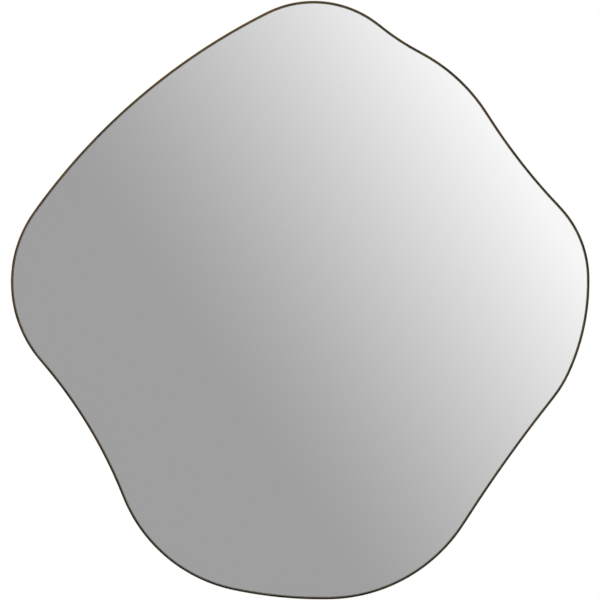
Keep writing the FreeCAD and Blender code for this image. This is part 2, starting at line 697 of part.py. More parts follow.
def wall_bumper(doc, number, place):
    """Tapered rubber foot with a well for its screw, from the board to the wall."""
    body = doc.addObject("PartDesign::Body", f"wall_bumper_{number}")
    body.Label = f"wall_bumper_{number}"
    body.Placement.Base = Vector(place.x, 0, place.y)
    sketch = make_sketch(body, "half_section", "XY_Plane")
    bore = half("screw_shank", "screw_hole_clearance", "screw_hole_clearance")
    seat, wall = whole(*minus(BOARD_REAR)), whole()
    floor = whole(*minus(BOARD_REAR), "bumper_web")
    polygon(sketch, [
        (bore, seat), (half("bumper_base"), seat), (half("bumper_tip"), wall), (half("bumper_well"), wall),
        (half("bumper_well"), floor), (bore, floor),
    ])
    foot = body.newObject("PartDesign::Revolution", "moulded_foot")
    foot.Profile = sketch
    foot.ReferenceAxis = (sketch, ["V_Axis"])
    foot.Angle = 360
    doc.recompute()
    body.Tip = dress(body, "Fillet", "foot_round", bumper_rim, ("bumper_round",))
    return body


def bumper_rim(edge):
    """Test for the outer circle of the face that meets the wall."""
    box = edge.BoundBox
    between = (SIZES["bumper_well"] + SIZES["bumper_tip"]) / 2
    return box.YMin > -SAME and box.XLength > between


# ---- the whole mirror

def build(doc):
    """Make every sub-part and return those that are written."""
    make_sheet(doc)
    arcs = outline_arcs()
    parts = [frame_band(doc, arcs), edge_seal(doc, arcs), mirror_glass(doc, arcs), safety_film(doc, arcs)]
    for number in range(1, TAPE_COUNT + 1):
        parts.append(mounting_tape(doc, arcs, number))
    parts.append(backing_board(doc, arcs))
    for number, place in enumerate(SHIM_PLACES, start=1):
        parts.append(centring_shim(doc, arcs, place, number))
    for number, place in enumerate(TAB_PLACES, start=1):
        parts.append(frame_tab(doc, arcs, place, number))
    for name, side in (("left", -1), ("right", 1)):
        parts.append(hanger_strap(doc, f"hanger_strap_{name}", side))
        parts.append(hanger_ring(doc, f"hanger_ring_{name}", side))
    for number, place in enumerate(bumper_places(arcs), start=1):
        parts.append(wall_bumper(doc, number, place))
    fixings = (
        ("tab_screws", ("tab_thickness",), tab_hole_places(arcs), TAB_REAR),
        ("hanger_screws", ("strap_thickness",), hanger_screw_places(), STRAP_REAR),
        ("bumper_screws", ("bumper_web",), bumper_places(arcs), BOARD_REAR + ("-bumper_web",)),
    )
    for label, carried, places, seat in fixings:
        master = screw(doc, "one_of_" + label, carried)
        parts.append(screw_group(doc, label, master, places, seat))
    doc.recompute()
    return parts


def check(doc, parts):
    """Stop if any object failed or any shape isn't whole."""
    for item in doc.Objects:
        if "Invalid" in item.State or "Error" in item.State:
            raise RuntimeError(f"{item.Label} failed: {item.State}")
    for part in parts:
        if part.Shape.isNull() or not part.Shape.isValid():
            raise RuntimeError(f"{part.Label} has no valid shape")


def main():
    doc = FreeCAD.newDocument("irregular_mirror")
    parts = build(doc)
    check(doc, parts)
    os.makedirs("parts", exist_ok=True)
    for part in parts:
        part.Shape.exportStep(f"parts/{part.Label}.step")
        print(f"{part.Label}: {len(part.Shape.Solids)} solid(s), {part.Shape.Volume:.0f} mm3")


main()
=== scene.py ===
"""Dresses the packed wall mirror: the finish of every piece, the fine mesh of its rim, the bead of
sealant and the welds, and a plain studio. Lengths are metres. The mirror looks along -Y from the
wall plane, and Z is up."""

import math
import random

import bmesh
import bpy
from bpy.props import FloatProperty, FloatVectorProperty, IntProperty, PointerProperty
from mathutils import Matrix, Vector
from mathutils.kdtree import KDTree


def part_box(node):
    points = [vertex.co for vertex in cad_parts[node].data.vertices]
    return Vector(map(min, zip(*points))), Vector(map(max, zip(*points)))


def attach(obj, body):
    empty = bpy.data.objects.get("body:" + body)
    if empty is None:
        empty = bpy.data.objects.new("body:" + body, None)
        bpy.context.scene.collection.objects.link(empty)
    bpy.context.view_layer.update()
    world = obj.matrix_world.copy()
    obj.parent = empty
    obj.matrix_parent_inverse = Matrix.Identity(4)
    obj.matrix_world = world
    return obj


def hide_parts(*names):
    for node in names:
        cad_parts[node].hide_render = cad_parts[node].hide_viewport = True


bl_info = {
    "name": "Irregular wall mirror",
    "version": (1, 0, 0),
    "blender": (4, 5, 0),
    "location": "3D View > Sidebar > Mirror",
    "description": "Finishes, welds, sealant and studio for an irregular mirror in a thin bronzed rim",
    "category": "Object",
}

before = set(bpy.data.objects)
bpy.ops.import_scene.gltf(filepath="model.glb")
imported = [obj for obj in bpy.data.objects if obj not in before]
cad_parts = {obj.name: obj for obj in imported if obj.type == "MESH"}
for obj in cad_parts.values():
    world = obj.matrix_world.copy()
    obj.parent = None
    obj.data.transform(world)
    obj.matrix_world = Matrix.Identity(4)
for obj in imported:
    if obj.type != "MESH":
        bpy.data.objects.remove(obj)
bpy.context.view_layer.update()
BODY = "mirror"
BACKWARD = Vector((0, 1, 0))

# What counts as one place, a crease, a corner of the bar and a level face.
SAME_PLACE = 1e-6
SHARP_ANGLE = math.radians(38)
CORNER_ANGLE = math.radians(60)
FLATNESS = 0.01

# How much of a normal points along Y on a face of the board, and on a face of the glass.
FACING = 0.5
SQUARE_ON = 0.95

# The swell of one ripple of weld metal, the two steps of the sealant's hollow, and how fibres lie.
RIPPLE_PROFILE = (1.0, 0.97, 0.84)
HOLLOW_STEPS = (0.7, 0.3)
FIBRE_TURNS = (0.0, 0.75, 1.6, 2.35)

# How far an arc bows out between two CAD points, and how often it is then evened out.
BOW = 0.6
RELAX_ROUNDS = 5

# Wear beside a rounded edge, and on the rim's inner edges, as a share of that on its outer ones.
BESIDE_WEAR = 0.3
INNER_WEAR = 0.25

# The way towards the painted highlight on the bronze, lighter towards the upper left, and the haze in the
# silvering.
TO_PAINTED_HIGHLIGHT = (-0.64, 0.0, 0.77)
HAZE = 0.012

# How marks lie on metal: drawn out along Z by rolling, or every way by tumbling.
ROLLED = (1.0, 1.0, 0.05)
TUMBLED = (1.0, 1.0, 1.0)

# How far into its drawn-in end a bead starts, in ripples, and how blunt that end is.
BEAD_LEAD = 0.6
BEAD_BLUNT = 0.3

# The front card's rise in brightness: which way it goes, and where it starts and ends. Like the
# places where it then changes again, those are shares of its reach; the rest are metres.
CARD_WAY = (0.832, 0.0, 0.555)
CARD_RISE = (-0.199, 0.427)
CARD_LEFT, CARD_RIGHT, CARD_FOOT = -0.55, 0.47, -0.53
CARD_LEFT_BRIGHT, CARD_LEFT_DIM, CARD_RIGHT_DIM = -2.2, (-2.4, -4.2), 2.2
LEFT_GLOW, FAR_LEFT_GLOW, FOOT_GLOW = 1.9, 0.4, 0.97

# Where the rear card's dark flag stands along X.
FLAG_X = 0.9

# Each lamp's place and width, and the setting that holds its power.
LAMPS = (
    ("key_lamp", (2.4, -3.1, 2.6), 2.2, "key_power"),
    ("fill_lamp", (-3.2, -2.2, 0.9), 2.4, "fill_power"),
    ("rear_lamp", (-2.2, 3.2, 2.4), 2.2, "rear_power"),
)
FLOOR_SIDES = 96
FAR_CLIP = 100.0
WHITE = (1.0, 1.0, 1.0)

# The sockets of a Mix node that is set to colours.
MIX_FACTOR, MIX_FIRST, MIX_SECOND, MIX_RESULT = 0, 6, 7, 2


# -------------------- sizes read from the frame


def nodes_called(start):
    """The CAD nodes whose names start with these words, in order."""
    return sorted(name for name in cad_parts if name.startswith(start))


def side_gap(outer, inner):
    """How far one ring-shaped node stands outside another, read at the right-hand side."""
    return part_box(outer)[1].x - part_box(inner)[1].x


RIM_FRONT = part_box("frame_band")[0].y
RIM_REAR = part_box("frame_band")[1].y
RIM_THICKNESS = side_gap("frame_band", "edge_seal")
SEAL_WIDTH = side_gap("edge_seal", "mirror_glass")
BOARD_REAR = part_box("backing_board")[1].y
TABS = nodes_called("frame_tab")
TAPES = nodes_called("mounting_tape")
SHIMS = nodes_called("centring_shim")
BUMPERS = nodes_called("wall_bumper")
STRAPS = ("hanger_strap_left", "hanger_strap_right")
RINGS = ("hanger_ring_left", "hanger_ring_right")
SCREWS = ("tab_screws", "hanger_screws", "bumper_screws")


# -------------------- settings


def setting(kind, **fixed):
    """A function that makes settings of one kind from a name, a description and a default."""

    def made(name, description, default):
        return kind(name=name, description=description, default=default, **fixed)

    return made


size = setting(FloatProperty, unit="LENGTH", precision=5)
share = setting(FloatProperty, min=0.0, max=1.0, subtype="FACTOR")
colour = setting(FloatVectorProperty, size=3, min=0.0, max=1.0, subtype="COLOR")
count = setting(IntProperty, min=1)
power = setting(FloatProperty, unit="POWER")
optic = setting(FloatProperty, unit="CAMERA")
plain = setting(FloatProperty)


class RimSettings(bpy.types.PropertyGroup):
    """The flat bar that runs round the mirror."""

    edge_round: size("Edge round", "Radius of the bar's four long edges", 0.0005)
    edge_steps: count("Edge steps", "Faces across each rounded edge", 3)
    outline_cuts: count("Outline cuts", "Cuts in each stretch of the outline", 5)
    dark_bronze: colour("Dark bronze", "Deepest tone of the patina", (0.0095, 0.0060, 0.0026))
    # The light bronze is a painted highlight on the bronze's front faces towards the upper left, and in the
    # welds a paler tone of the heat clouds.
    highlight_and_pale_bronze: colour("Light bronze", "Rubbed tone of the patina", (0.036, 0.025, 0.012))
    olive_bronze: colour("Olive bronze", "Greenish clouds in the patina", (0.024, 0.020, 0.008))
    red_bronze: colour("Red bronze", "Reddish clouds in the patina", (0.034, 0.015, 0.008))
    brass: colour("Brass", "Bare metal on worn edges", (0.52, 0.32, 0.075))
    dust: colour("Dust", "Dust on what faces up", (0.42, 0.40, 0.36))


class GlassSettings(bpy.types.PropertyGroup):
    """The silvered glass and the sealant round it."""

    silver: colour("Silver", "What the silvered glass gives back", (0.87, 0.87, 0.87))
    haze: colour("Haze", "Faint haze in the silvering", (0.80, 0.82, 0.82))
    ground_edge: colour("Ground edge", "Matt greenish edge of the glass", (0.40, 0.50, 0.46))
    ground_dark: colour("Ground edge, dark", "Darker marks of the grinding", (0.30, 0.40, 0.36))
    back_paint: colour("Back paint", "Grey paint over the silvering", (0.30, 0.32, 0.33))
    paint_dark: colour("Back paint, dark", "Where the paint lies thicker", (0.22, 0.24, 0.26))
    sealant: colour("Sealant", "Clear silicone over the dark joint", (0.17, 0.160, 0.145))
    sealant_pale: colour("Sealant, pale", "Where the tool drew it thin", (0.25, 0.245, 0.23))
    seal_lip: size("Seal lip", "Width of the raised lip on each side of the bead", 0.0002)
    seal_hollow: size("Seal hollow", "Depth of the tooled hollow in the bead", 0.00025)


class WeldSettings(bpy.types.PropertyGroup):
    """The beads that hold the tabs and close the rim."""

    bead_radius: size("Bead radius", "Half the width of a bead", 0.0013)
    bead_sides: count("Bead sides", "Faces round a bead", 10)
    ripple_pitch: size("Ripple pitch", "Length of one ripple along a bead", 0.0012)
    tab_share: share("Share of the tab", "Length of a tab's bead as a share of the tab's edge", 0.72)
    unevenness: share("Unevenness", "How far the ripples differ from each other", 0.16)
    closing_x: size("Closing weld", "Place of the rim's closing weld along X", 0.075)
    heat_tint: colour("Heat tint", "Straw and brown tint beside the weld metal", (0.11, 0.060, 0.026))


class BackSettings(bpy.types.PropertyGroup):
    """The board, film, tape, shims and bumpers."""

    board_face: colour("Board face", "Pressed face of the fibreboard", (0.42, 0.29, 0.175))
    board_fibre: colour("Board fibre", "Pale fibres in the board", (0.60, 0.46, 0.31))
    board_fleck: colour("Board fleck", "Dark bark flecks in the board", (0.13, 0.075, 0.04))
    board_cloud: colour("Board cloud", "Darker clouds in the board", (0.30, 0.20, 0.12))
    board_edge: colour("Board edge", "Sawn edge of the board", (0.17, 0.105, 0.06))
    film: colour("Film", "Safety film on the glass", (0.62, 0.66, 0.70))
    film_dark: colour("Film, dark", "Pull lines in the film", (0.50, 0.55, 0.60))
    foam: colour("Foam", "Foam mounting tape", (0.80, 0.80, 0.77))
    # The dark foam tone is painted shade in the hollows of the foam's cells.
    foam_hollow_shade: colour("Foam, dark", "Hollows of the foam's cells", (0.58, 0.58, 0.55))
    shim: colour("Shim", "Moulded centring shims", (0.080, 0.080, 0.085))
    # The pale shim tone is a painted highlight on the high points of the mould texture.
    shim_highlight: colour("Shim, pale", "High points of the mould texture", (0.11, 0.11, 0.115))
    rubber: colour("Rubber", "Moulded rubber of the bumpers", (0.022, 0.022, 0.024))
    # The pale rubber tone is a painted highlight on the high points of the rubber's texture.
    rubber_highlight: colour("Rubber, pale", "High points of the rubber", (0.040, 0.040, 0.042))
    rubber_dust: colour("Dust", "Dust on top of the bumpers", (0.30, 0.29, 0.27))


class HardwareSettings(bpy.types.PropertyGroup):
    """The straps, rings and screws."""

    nickel: colour("Nickel", "Plating of the straps and rings", (0.60, 0.57, 0.52))
    zinc: colour("Zinc", "Passivated zinc of the screws", (0.68, 0.69, 0.70))
    tarnish: colour("Tarnish", "Dull tone in the hollows of the plating", (0.20, 0.18, 0.15))
    brightened: colour("Rubbed edge", "Bright metal on rubbed edges", (0.86, 0.85, 0.82))
    dust: colour("Dust", "Dust on what faces up", (0.45, 0.43, 0.40))


class StudioSettings(bpy.types.PropertyGroup):
    """The floor, lamps, reflector cards and camera."""

    lens: optic("Lens", "Focal length of the camera", 200.0)
    sensor: optic("Sensor", "Width of the sensor", 36.0)
    view_width: size("View width", "Width of the picture in the plane of the rim's front", 1.00224)
    aim_x: size("Aim X", "Where the camera looks along X", -0.00075)
    aim_z: size("Aim Z", "Where the camera looks along Z", 0.00025)
    floor_height: size("Floor height", "Height of the floor", -1.15)
    floor_radius: size("Floor radius", "Radius of the floor", 7.0)
    floor_pale: colour("Floor", "Pale floor", (0.86, 0.86, 0.86))
    card_distance: size("Card distance", "How far the front card stands from the mirror", 2.4)
    card_width: size("Card width", "Width of a reflector card", 16.0)
    card_dim: share("Card dim", "Brightness of the card's lower left", 0.398)
    card_bright: plain("Card bright", "Brightness of its upper right", 1.066)
    card_far: share("Card far", "Brightness of the card's ends", 0.30)
    card_curve: plain("Card curve", "Bend of the rise in brightness", 1.45)
    key_power: power("Key lamp", "Power of the front lamp", 62.0)
    fill_power: power("Fill lamp", "Power of the lamp on the left", 26.0)
    rear_power: power("Rear lamp", "Power of the lamp behind", 58.0)
    air: plain("Air", "Strength of the world's light on the object", 0.50)


SETTINGS = {
    "mirror_rim": RimSettings,
    "mirror_glass_settings": GlassSettings,
    "mirror_weld": WeldSettings,
    "mirror_back": BackSettings,
    "mirror_hardware": HardwareSettings,
    "mirror_studio": StudioSettings,
}


# -------------------- wiring of node trees


class Wiring:
    """Adds and joins the nodes of one material, world or group."""

    def __init__(self, tree):
        self.tree = tree

    def feed(self, socket, value):
        """Joins an output to a socket, or sets a plain value on it."""
        if isinstance(value, bpy.types.NodeSocket):
            self.tree.links.new(value, socket)
        elif getattr(socket, "type", "") == "RGBA" and len(value) == 3:
            socket.default_value = (*value, 1.0)
        else:
            socket.default_value = value

    def node(self, kind, inputs=None, **settings):
        made = self.tree.nodes.new(kind)
        for name, value in settings.items():
            setattr(made, name, value)
        for name, value in (inputs or {}).items():
            self.feed(made.inputs[name], value)
        return made

    def group(self, group, **inputs):
        """Places a node group. An input's name has underscores for spaces."""
        made = self.node("ShaderNodeGroup", node_tree=group)
        for name, value in inputs.items():
            self.feed(made.inputs[name.replace("_", " ")], value)
        return made

    def mask(self, name, **inputs):
        """The mask of a shared node group."""
        return self.group(shared(name), **inputs).outputs["Mask"]

    def brushed(self, **inputs):
        """The height of the shared brushed lines."""
        return self.group(shared("Brushed lines"), **inputs).outputs["Height"]

    def maths(self, operation, first, second=0.0, clamp=False):
        made = self.node("ShaderNodeMath", {0: first, 1: second}, operation=operation, use_clamp=clamp)
        return made.outputs[0]

    def scaled(self, value, factor):
        return self.maths("MULTIPLY", value, factor)

    def vector(self, operation, first, second):
        made = self.node("ShaderNodeVectorMath", {0: first, 1: second}, operation=operation)
        return made.outputs["Value" if operation in ("DOT_PRODUCT", "LENGTH") else "Vector"]

    def ranged(self, value, low, high, to_low=0.0, to_high=1.0, smooth=False):
        made = self.node(
            "ShaderNodeMapRange",
            {"Value": value, "From Min": low, "From Max": high, "To Min": to_low, "To Max": to_high},
            interpolation_type="SMOOTHSTEP" if smooth else "LINEAR",
        )
        return made.outputs["Result"]

    def mixed(self, factor, first, second, blend="MIX"):
        made = self.node(
            "ShaderNodeMix",
            {MIX_FACTOR: factor, MIX_FIRST: first, MIX_SECOND: second},
            data_type="RGBA",
            blend_type=blend,
        )
        return made.outputs[MIX_RESULT]

    def noise(self, place, scale, detail=2.0, roughness=0.5, stretch=None):
        if stretch is not None:
            mapping = self.node("ShaderNodeMapping", {"Vector": place, "Scale": stretch})
            place = mapping.outputs["Vector"]
        made = self.node(
            "ShaderNodeTexNoise",
            {"Vector": place, "Scale": scale, "Detail": detail, "Roughness": roughness},
        )
        return made.outputs["Fac"]

    def object_place(self):
        return self.node("ShaderNodeTexCoord").outputs["Object"]

    def part_of(self, vector, axis):
        return self.node("ShaderNodeSeparateXYZ", {"Vector": vector}).outputs[axis]

    def facing(self, axis):
        """How far the surface faces along an axis, from -1 to 1."""
        return self.part_of(self.node("ShaderNodeNewGeometry").outputs["Normal"], axis)

    def finish(self, shader, tone, roughness, height, relief, strength):
        """Joins a finish's colour, roughness and relief to its shader."""
        bump = self.node("ShaderNodeBump", {"Height": height, "Distance": relief, "Strength": strength})
        self.feed(shader["Base Color"], tone)
        self.feed(shader["Roughness"], roughness)
        self.feed(shader["Normal"], bump.outputs["Normal"])


SOCKETS = {"value": "NodeSocketFloat", "vector": "NodeSocketVector", "colour": "NodeSocketColor"}


def emptied(owner):
    """The wiring of a material's or world's node tree, emptied first."""
    owner.use_nodes = True
    owner.node_tree.nodes.clear()
    return Wiring(owner.node_tree)


def new_group(name, inputs, outputs):
    """An empty shader group with named sockets, its wiring, its inputs' outlets and its output node."""
    group = bpy.data.node_groups.new(name, "ShaderNodeTree")
    for socket, (kind, default) in inputs.items():
        made = group.interface.new_socket(socket, in_out="INPUT", socket_type=SOCKETS[kind])
        if default is not None:
            made.default_value = default
    for socket, kind in outputs.items():
        group.interface.new_socket(socket, in_out="OUTPUT", socket_type=SOCKETS[kind])
    wiring = Wiring(group)
    given = wiring.node("NodeGroupInput").outputs
    result = wiring.node("NodeGroupOutput").inputs
    return group, wiring, given, result


def worn_edges_group():
    """A mask of the sharp edges, broken up by noise."""
    group, wiring, given, result = new_group(
        "Worn edges",
        {"Place": ("vector", None), "Width": ("value", 0.0005), "Breakup": ("value", 60.0)},
        {"Mask": "value"},
    )
    rounded = wiring.node("ShaderNodeBevel", {"Radius": given["Width"]}, samples=4).outputs["Normal"]
    flat = wiring.node("ShaderNodeNewGeometry").outputs["Normal"]
    turned = wiring.maths("SUBTRACT", 1.0, wiring.vector("DOT_PRODUCT", rounded, flat))
    edge = wiring.ranged(turned, 0.01, 0.16)
    patches = wiring.ranged(wiring.noise(given["Place"], given["Breakup"], detail=3.0), 0.35, 0.62)
    wiring.feed(result["Mask"], wiring.maths("MULTIPLY", edge, patches, clamp=True))
    return group


def clouds_group():
    """Soft clouds for tones that wander over a surface."""
    group, wiring, given, result = new_group(
        "Clouds",
        {
            "Place": ("vector", None),
            "Scale": ("value", 12.0),
            "Detail": ("value", 3.0),
            "Low": ("value", 0.4),
            "High": ("value", 0.6),
        },
        {"Mask": "value"},
    )
    noise = wiring.noise(given["Place"], given["Scale"], given["Detail"], roughness=0.55)
    clouds = wiring.ranged(noise, given["Low"], given["High"], smooth=True)
    wiring.feed(result["Mask"], clouds)
    return group


def brushed_group():
    """Fine lines that run along one direction, as brushing or drawing leaves them."""
    group, wiring, given, result = new_group(
        "Brushed lines",
        {"Place": ("vector", None), "Stretch": ("vector", (1.0, 1.0, 1.0)), "Scale": ("value", 900.0)},
        {"Height": "value"},
    )
    stretched = wiring.vector("MULTIPLY", given["Place"], given["Stretch"])
    fine = wiring.noise(stretched, given["Scale"], detail=3.0, roughness=0.6)
    coarse = wiring.noise(stretched, wiring.scaled(given["Scale"], 0.28))
    both = wiring.maths("ADD", wiring.scaled(fine, 0.6), wiring.scaled(coarse, 0.4))
    wiring.feed(result["Height"], both)
    return group


def settled_dust_group():
    """A mask of the faces that look up, where dust settles."""
    group, wiring, given, result = new_group(
        "Settled dust",
        {"Place": ("vector", None), "Amount": ("value", 0.3), "Scale": ("value", 90.0)},
        {"Mask": "value"},
    )
    upward = wiring.ranged(wiring.facing("Z"), 0.35, 0.95, smooth=True)
    patches = wiring.noise(given["Place"], given["Scale"], detail=4.0, roughness=0.65)
    settled = wiring.maths("MULTIPLY", upward, wiring.ranged(patches, 0.3, 0.7))
    wiring.feed(result["Mask"], wiring.maths("MULTIPLY", settled, given["Amount"]))
    return group


GROUP_MAKERS = {
    "Worn edges": worn_edges_group,
    "Clouds": clouds_group,
    "Brushed lines": brushed_group,
    "Settled dust": settled_dust_group,
}


def shared(name):
    """A shared node group, built the first time that a material asks for it."""
    return bpy.data.node_groups.get(name) or GROUP_MAKERS[name]()


# -------------------- finishes


def new_finish(name):
    """An empty material, its wiring, its shader and the Object coordinates."""
    material = bpy.data.materials.new(name)
    wiring = emptied(material)
    shader = wiring.node("ShaderNodeBsdfPrincipled")
    wiring.node("ShaderNodeOutputMaterial", {"Surface": shader.outputs["BSDF"]})
    return material, wiring, shader.inputs, wiring.object_place()


def bronzed_steel(name, settings, outline_map=None):
    """Steel with a dark bronze patina: olive and reddish clouds, a painted highlight towards the upper
    left, and brass where the edges are worn, which on the rim grows towards the upper left as a
    painted highlight and towards the bottom. The rim's brush lines follow its UV map."""
    material, wiring, shader, place = new_finish(name)
    # Painted highlight: the patina turns lighter towards the upper left, most on the front faces.
    highlight_side = wiring.vector("DOT_PRODUCT", place, TO_PAINTED_HIGHLIGHT)
    highlight_patches = wiring.scaled(wiring.noise(place, scale=5.0, detail=4.0, roughness=0.6), 0.9)
    painted_highlight = wiring.ranged(wiring.maths("ADD", highlight_side, highlight_patches), 0.52, 0.92)
    face_share = wiring.ranged(wiring.facing("Y"), -0.9, -0.5, 1.0, 0.3)
    highlight_on_face = wiring.maths("MULTIPLY", painted_highlight, face_share)
    tone = wiring.mixed(highlight_on_face, settings.dark_bronze, settings.highlight_and_pale_bronze)
    olive = wiring.mask("Clouds", Place=place, Scale=34.0, Low=0.48, High=0.66)
    tone = wiring.mixed(wiring.scaled(olive, 0.55), tone, settings.olive_bronze)
    moved = wiring.vector("ADD", place, (3.1, 1.7, 0.4))
    red = wiring.mask("Clouds", Place=moved, Scale=27.0, Low=0.52, High=0.70)
    tone = wiring.mixed(wiring.scaled(red, 0.55), tone, settings.red_bronze)
    if outline_map:
        uv = wiring.node("ShaderNodeUVMap", uv_map=outline_map).outputs["UV"]
        height = wiring.brushed(Place=uv, Stretch=(0.02, 1.0, 1.0), Scale=2600.0)
        worn = wiring.node("ShaderNodeAttribute", attribute_name="worn_edge").outputs["Fac"]
        patches = wiring.noise(place, scale=24.0, detail=4.0, roughness=0.6)
        patches = wiring.ranged(patches, 0.34, 0.62, 0.25, 1.0)
        # The worn edges show more bare brass towards the bottom, and towards the upper left, where that
        # brass is a painted highlight.
        towards_bottom = wiring.ranged(wiring.part_of(place, "Z"), -0.42, -0.10, 0.45, 0.75, smooth=True)
        brightened = wiring.maths("MAXIMUM", wiring.ranged(painted_highlight, 0.0, 1.0, 0.0, 1.25), towards_bottom)
        bare = wiring.maths("MULTIPLY", worn, wiring.maths("MULTIPLY", patches, brightened), clamp=True)
    else:
        height = wiring.brushed(Place=place, Stretch=ROLLED, Scale=1500.0)
        bare = wiring.mask("Worn edges", Place=place, Width=0.0006, Breakup=120.0)
    tone = wiring.mixed(wiring.scaled(bare, 0.9), tone, settings.brass)
    dust = wiring.mask("Settled dust", Place=place, Amount=0.16, Scale=140.0)
    tone = wiring.mixed(dust, tone, settings.dust)
    shader["Metallic"].default_value = 0.82
    shader["Specular IOR Level"].default_value = 0.2
    brushed = wiring.ranged(height, 0.3, 0.7, 0.34, 0.48)
    rough = wiring.maths("ADD", brushed, wiring.scaled(olive, 0.12))
    rough = wiring.maths("SUBTRACT", rough, wiring.scaled(bare, 0.14))
    wiring.finish(shader, tone, rough, height, relief=0.00002, strength=0.5)
    return material


def weld_metal(rim, welds):
    """Weld metal under the rim's patina: darker and duller than the bar, with a straw tint."""
    material, wiring, shader, place = new_finish("weld_metal")
    heat = wiring.mask("Clouds", Place=place, Scale=420.0, Low=0.42, High=0.62)
    tone = wiring.mixed(heat, rim.dark_bronze, rim.highlight_and_pale_bronze)
    straw = wiring.mask("Clouds", Place=place, Scale=210.0, Detail=2.0, Low=0.50, High=0.66)
    tone = wiring.mixed(wiring.scaled(straw, 0.45), tone, welds.heat_tint)
    scale = wiring.noise(place, scale=2600.0, detail=3.0)
    shader["Metallic"].default_value = 0.7
    rough = wiring.ranged(scale, 0.3, 0.7, 0.42, 0.62)
    wiring.finish(shader, tone, rough, scale, relief=0.00004, strength=0.6)
    return material


def silvered_glass(settings):
    """Silver seen through the front face, a ground green edge, and grey paint on the rear face."""
    material, wiring, shader, place = new_finish("silvered_glass")
    depth = wiring.facing("Y")
    front = wiring.maths("LESS_THAN", depth, -SQUARE_ON)
    rear = wiring.maths("GREATER_THAN", depth, SQUARE_ON)
    grinding = wiring.noise(place, scale=2500.0)
    edge = wiring.mixed(grinding, settings.ground_edge, settings.ground_dark)
    paint_tone = wiring.noise(place, scale=55.0, detail=3.0)
    thick = wiring.ranged(paint_tone, 0.3, 0.7, 0.0, 0.35)
    paint = wiring.mixed(thick, settings.back_paint, settings.paint_dark)
    haze = wiring.ranged(wiring.noise(place, scale=3.0, detail=5.0, roughness=0.6), 0.45, 0.75)
    silver = wiring.mixed(wiring.scaled(haze, HAZE), settings.silver, settings.haze)
    tone = wiring.mixed(rear, wiring.mixed(front, edge, silver), paint)
    wiring.feed(shader["Base Color"], tone)
    wiring.feed(shader["Metallic"], front)
    matt = wiring.ranged(grinding, 0.3, 0.7, 0.42, 0.60)
    polished = wiring.maths("MULTIPLY", front, wiring.scaled(haze, HAZE))
    unpolished = wiring.maths("MULTIPLY", wiring.maths("SUBTRACT", 1.0, front), matt)
    wiring.feed(shader["Roughness"], wiring.maths("ADD", polished, unpolished))
    return material


def clear_silicone(settings):
    """Cured sealant: soft gloss, faint tool drag and tiny bubbles."""
    material, wiring, shader, place = new_finish("clear_silicone")
    drag = wiring.noise(place, scale=120.0, detail=3.0)
    bubbles = wiring.noise(place, scale=1400.0, detail=1.0)
    tone = wiring.mixed(wiring.ranged(drag, 0.35, 0.65), settings.sealant, settings.sealant_pale)
    rough = wiring.ranged(drag, 0.3, 0.7, 0.22, 0.38)
    height = wiring.maths("ADD", wiring.scaled(bubbles, 0.3), drag)
    wiring.finish(shader, tone, rough, height, relief=0.00006, strength=0.5)
    shader["IOR"].default_value = 1.41
    shader["Coat Weight"].default_value = 0.25
    shader["Coat Roughness"].default_value = 0.12
    return material


def backing_film(settings):
    """Polythene safety film with faint pull lines."""
    material, wiring, shader, place = new_finish("backing_film")
    pulls = wiring.noise(place, scale=14.0, detail=3.0, stretch=(1.0, 1.0, 12.0))
    tone = wiring.mixed(wiring.ranged(pulls, 0.35, 0.65, 0.0, 0.5), settings.film, settings.film_dark)
    rough = wiring.ranged(pulls, 0.3, 0.7, 0.26, 0.42)
    wiring.finish(shader, tone, rough, pulls, relief=0.0001, strength=0.4)
    return material


def foam_tape(settings):
    """Closed-cell foam with a fine pattern of cells, darker in their hollows as painted shade."""
    material, wiring, shader, place = new_finish("foam_tape")
    cells = wiring.node("ShaderNodeTexVoronoi", {"Vector": place, "Scale": 1500.0}).outputs["Distance"]
    tone = wiring.mixed(wiring.ranged(cells, 0.0, 0.7, 0.0, 0.6), settings.foam_hollow_shade, settings.foam)
    wiring.finish(shader, tone, 0.85, cells, relief=0.0002, strength=0.6)
    return material


def fibres(wiring, place, scale, length):
    """Short fibres that lie every way: the highest of several stretched noises."""
    laid = 0.0
    for turn in FIBRE_TURNS:
        turned = wiring.node(
            "ShaderNodeMapping",
            {"Vector": place, "Rotation": (0.0, turn, 0.0), "Scale": (length, 1.0, 1.0)},
            vector_type="TEXTURE",
        )
        laid = wiring.maths("MAXIMUM", laid, wiring.noise(turned.outputs["Vector"], scale, detail=1.0))
    return laid


def fibreboard(settings):
    """Pressed fibreboard: short fibres and dark flecks on the faces, a darker cut edge."""
    material, wiring, shader, place = new_finish("fibreboard")
    cut_edge = wiring.maths("LESS_THAN", wiring.maths("ABSOLUTE", wiring.facing("Y")), FACING)
    clouds = wiring.mask("Clouds", Place=place, Scale=7.0, Detail=5.0, Low=0.30, High=0.70)
    fine = fibres(wiring, place, 3200.0, 7.0)
    coarse = fibres(wiring, place, 1300.0, 5.0)
    laid = wiring.maths("ADD", wiring.scaled(fine, 0.6), wiring.scaled(coarse, 0.4))
    flecks = wiring.ranged(wiring.noise(place, scale=1500.0, roughness=0.6), 0.68, 0.76)
    pale = wiring.ranged(laid, 0.54, 0.72, 0.0, 0.6)
    tone = wiring.mixed(pale, settings.board_face, settings.board_fibre)
    tone = wiring.mixed(wiring.scaled(clouds, 0.22), tone, settings.board_cloud)
    tone = wiring.mixed(wiring.scaled(flecks, 0.6), tone, settings.board_fleck)
    tone = wiring.mixed(wiring.scaled(cut_edge, 0.55), tone, settings.board_edge)
    rough = wiring.ranged(laid, 0.5, 0.75, 0.74, 0.58)
    wiring.finish(shader, tone, rough, laid, relief=0.00005, strength=0.5)
    shader["Specular IOR Level"].default_value = 0.35
    return material


